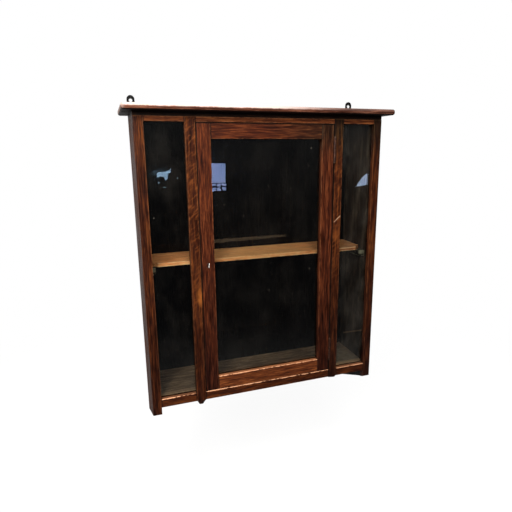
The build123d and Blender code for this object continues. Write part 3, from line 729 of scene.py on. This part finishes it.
for seed, name in enumerate(("door_stile_left", "door_stile_right")):
    low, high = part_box(name)
    outer = low.x if name.endswith("left") else high.x
    # Painted shadow in the gaps round the door, and painted shade lower down and under the overhang.
    painted_gap_shadows = dark_lines(("X", outer), ("Z", high.z), ("Z", low.z))
    painted_shades = [painted_door_shade] if name.endswith("left") else [painted_door_shade, painted_overhang_shade]
    dress_oak(name, "Z", 11.3 + seed, RED_OAK, details=painted_shades + [painted_gap_shadows, painted_underside_shade])
rail_shoulders = {
    "left": (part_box("stile_left")[1].x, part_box("mullion_left")[0].x),
    "centre": (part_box("mullion_left")[1].x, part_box("mullion_right")[0].x),
    "right": (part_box("mullion_right")[1].x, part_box("stile_right")[0].x),
}
for seed, (bay, shoulders) in enumerate(rail_shoulders.items()):
    joints = dark_lines(("X", shoulders[0]), ("X", shoulders[1]))
    dress_oak(f"top_rail_{bay}", "X", 21.7 + seed, TOP_OAK, details=[joints, painted_underside_shade])
    # Pale wear and painted highlight on the upper arris and lip, dark joints, and painted shade
    # underneath.
    rail_wear_and_painted_light = [worn_and_lit_lip(0.35, linear(120, 82, 58)), worn_and_lit_top(0.9, 0.6), joints, painted_underside_shade]
    dress_oak(f"bottom_rail_{bay}", "X", 31.9 + seed, DARK_OAK, details=rail_wear_and_painted_light)
door_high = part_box("door_stile_right")[1]
door_shoulders = [("X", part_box("door_stile_left")[1].x), ("X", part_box("door_stile_right")[0].x)]
# Painted shadow in the gap over the door, and dark joint lines at its shoulders.
door_top_lines = dark_lines(("Z", door_high.z), *door_shoulders)
dress_oak("door_top_rail", "X", 41.3, RED_OAK, details=[painted_rail_shade, door_top_lines, painted_underside_shade])
door_joints = dark_lines(*door_shoulders)
# Pale wear and painted highlight on the upper arris and lip, dark joints, and painted shade underneath.
rail_wear_and_painted_light = [worn_and_lit_lip(0.4, linear(136, 92, 62)), worn_and_lit_top(0.8, 0.6), door_joints, painted_underside_shade]
dress_oak("door_bottom_rail", "X", 44.6, TOP_OAK, details=rail_wear_and_painted_light)
side_details = {
    "side_left": [dusty_inside_and_painted_shade, painted_underside_shade],
    "side_right": [
        dusty_inside_and_painted_shade,
        pale_scratch_and_painted_glint((SIDE_INNER, -0.044, -0.876), (SIDE_INNER, -0.18, -0.813), 0.004, 0.4),
        painted_underside_shade,
    ],
}
for seed, name in enumerate(side_details):
    dress_oak(name, "Z", 51.2 + seed, DARK_OAK, details=side_details[name])
dress_oak("door_stop", "Z", 53.2, DARK_OAK)
for name in ("light_beads_left", "light_beads_right", "door_beads"):
    dress_oak(name, "Z", 57.4, BEAD_OAK)
# The top board gets pale wear and painted highlight on its crest, and painted shade towards the right
# and underneath.
dress_oak("top_board", "X", 61.1, CREST_OAK, wear=0.003, details=[pale_crest, painted_crest_shade, painted_underside_shade])
dress_oak("sub_top", "X", 64.2, BEAD_OAK)
floor_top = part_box("floor_board")[1].z
floor_patch = light_patch((0.31, -0.13, floor_top), (0.12, 0.16, 0.02), linear(196, 172, 146), 0.55)
dress_oak("floor_board", "X", 67.5, FLOOR_OAK, details=[floor_patch, pale_front_strip])
shelf_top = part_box("shelf")[1].z
# Painted light: a paler pool on the middle of the shelf, where the light through the door glass falls.
shelf_painted_light_pool = light_patch((0, -0.1, shelf_top), (0.28, 0.2, 0.02), linear(255, 186, 120), 0.5)
dress_oak("shelf", "X", 71.8, SHELF_OAK, wear=0.002, streak=1.7, details=[shelf_painted_light_pool])
for side in ("left", "right"):
    dress_oak(f"shelf_bearer_{side}", "Y", 74.3, BEARER_OAK, wear=0.0022, details=[pale_nose])
for number in (1, 2, 3):
    name = f"back_board_{number}"
    low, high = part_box(name)
    seams = dark_lines(("X", low.x), ("X", high.x))
    rear = [bare_rear, seams]
    dress_oak(name, "Z", 80.6 + number, BACK_OAK, gloss=0.07, relief=0.04, details=rear)

for name, dirt in (("door_glass", 0.004), ("light_glass_left", 0.006), ("light_glass_right", 0.02)):
    dress(name, old_glass(f"{name}_pane", dirt))

brass = metal(
    "hinge_brass", linear(50, 28, 19), linear(22, 12, 8), linear(104, 68, 50), metallic=0.3, specular=0.3
)
pin_brass = metal("hinge_pin_brass", linear(84, 66, 54), linear(40, 28, 22), linear(160, 134, 116))
iron = metal("blackened_iron", linear(10, 9, 9), linear(5, 5, 5), linear(40, 38, 36), 0.7, 0.0, 0.12)
lock_iron = metal("lock_iron", linear(96, 92, 88), linear(58, 44, 34), linear(150, 146, 140))
steel = metal("screw_steel", linear(110, 106, 100), linear(60, 48, 38), linear(170, 166, 160))
plate_low, plate_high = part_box("escutcheon")
plate_middle = (plate_low + plate_high) / 2
# Painted highlight: a thin pale stroke on the escutcheon stands in for a glint on its keyhole rim.
painted_glint_high = (plate_middle.x + 0.0042, plate_low.y, plate_middle.z + 0.0066)
painted_glint_low = (plate_middle.x + 0.0026, plate_low.y, plate_middle.z - 0.0066)
painted_glint = pale_scratch_and_painted_glint(painted_glint_high, painted_glint_low, 0.0012, 1.0, linear(255, 250, 244))
bright_brass = metal(
    "escutcheon_brass",
    linear(66, 36, 22),
    linear(30, 16, 9),
    linear(110, 74, 50),
    metallic=0.2,
    details=[painted_glint],
)
for place in ("lower", "upper"):
    for part in ("frame_leaf", "door_leaf"):
        dress(f"hinge_{place}_{part}", brass)
    dress(f"hinge_{place}_pin", pin_brass)
for name in ("hanging_plate_left", "hanging_plate_right"):
    dress(name, iron)
for name in ("lock_case", "lock_bolt"):
    dress(name, lock_iron)
for owner in ("plate", "bearer", "lock", "top", "back", "stop", "hinge"):
    for name in nodes:
        if name.startswith(f"{owner}_screws"):
            dress(name, steel)
dress("escutcheon", bright_brass)
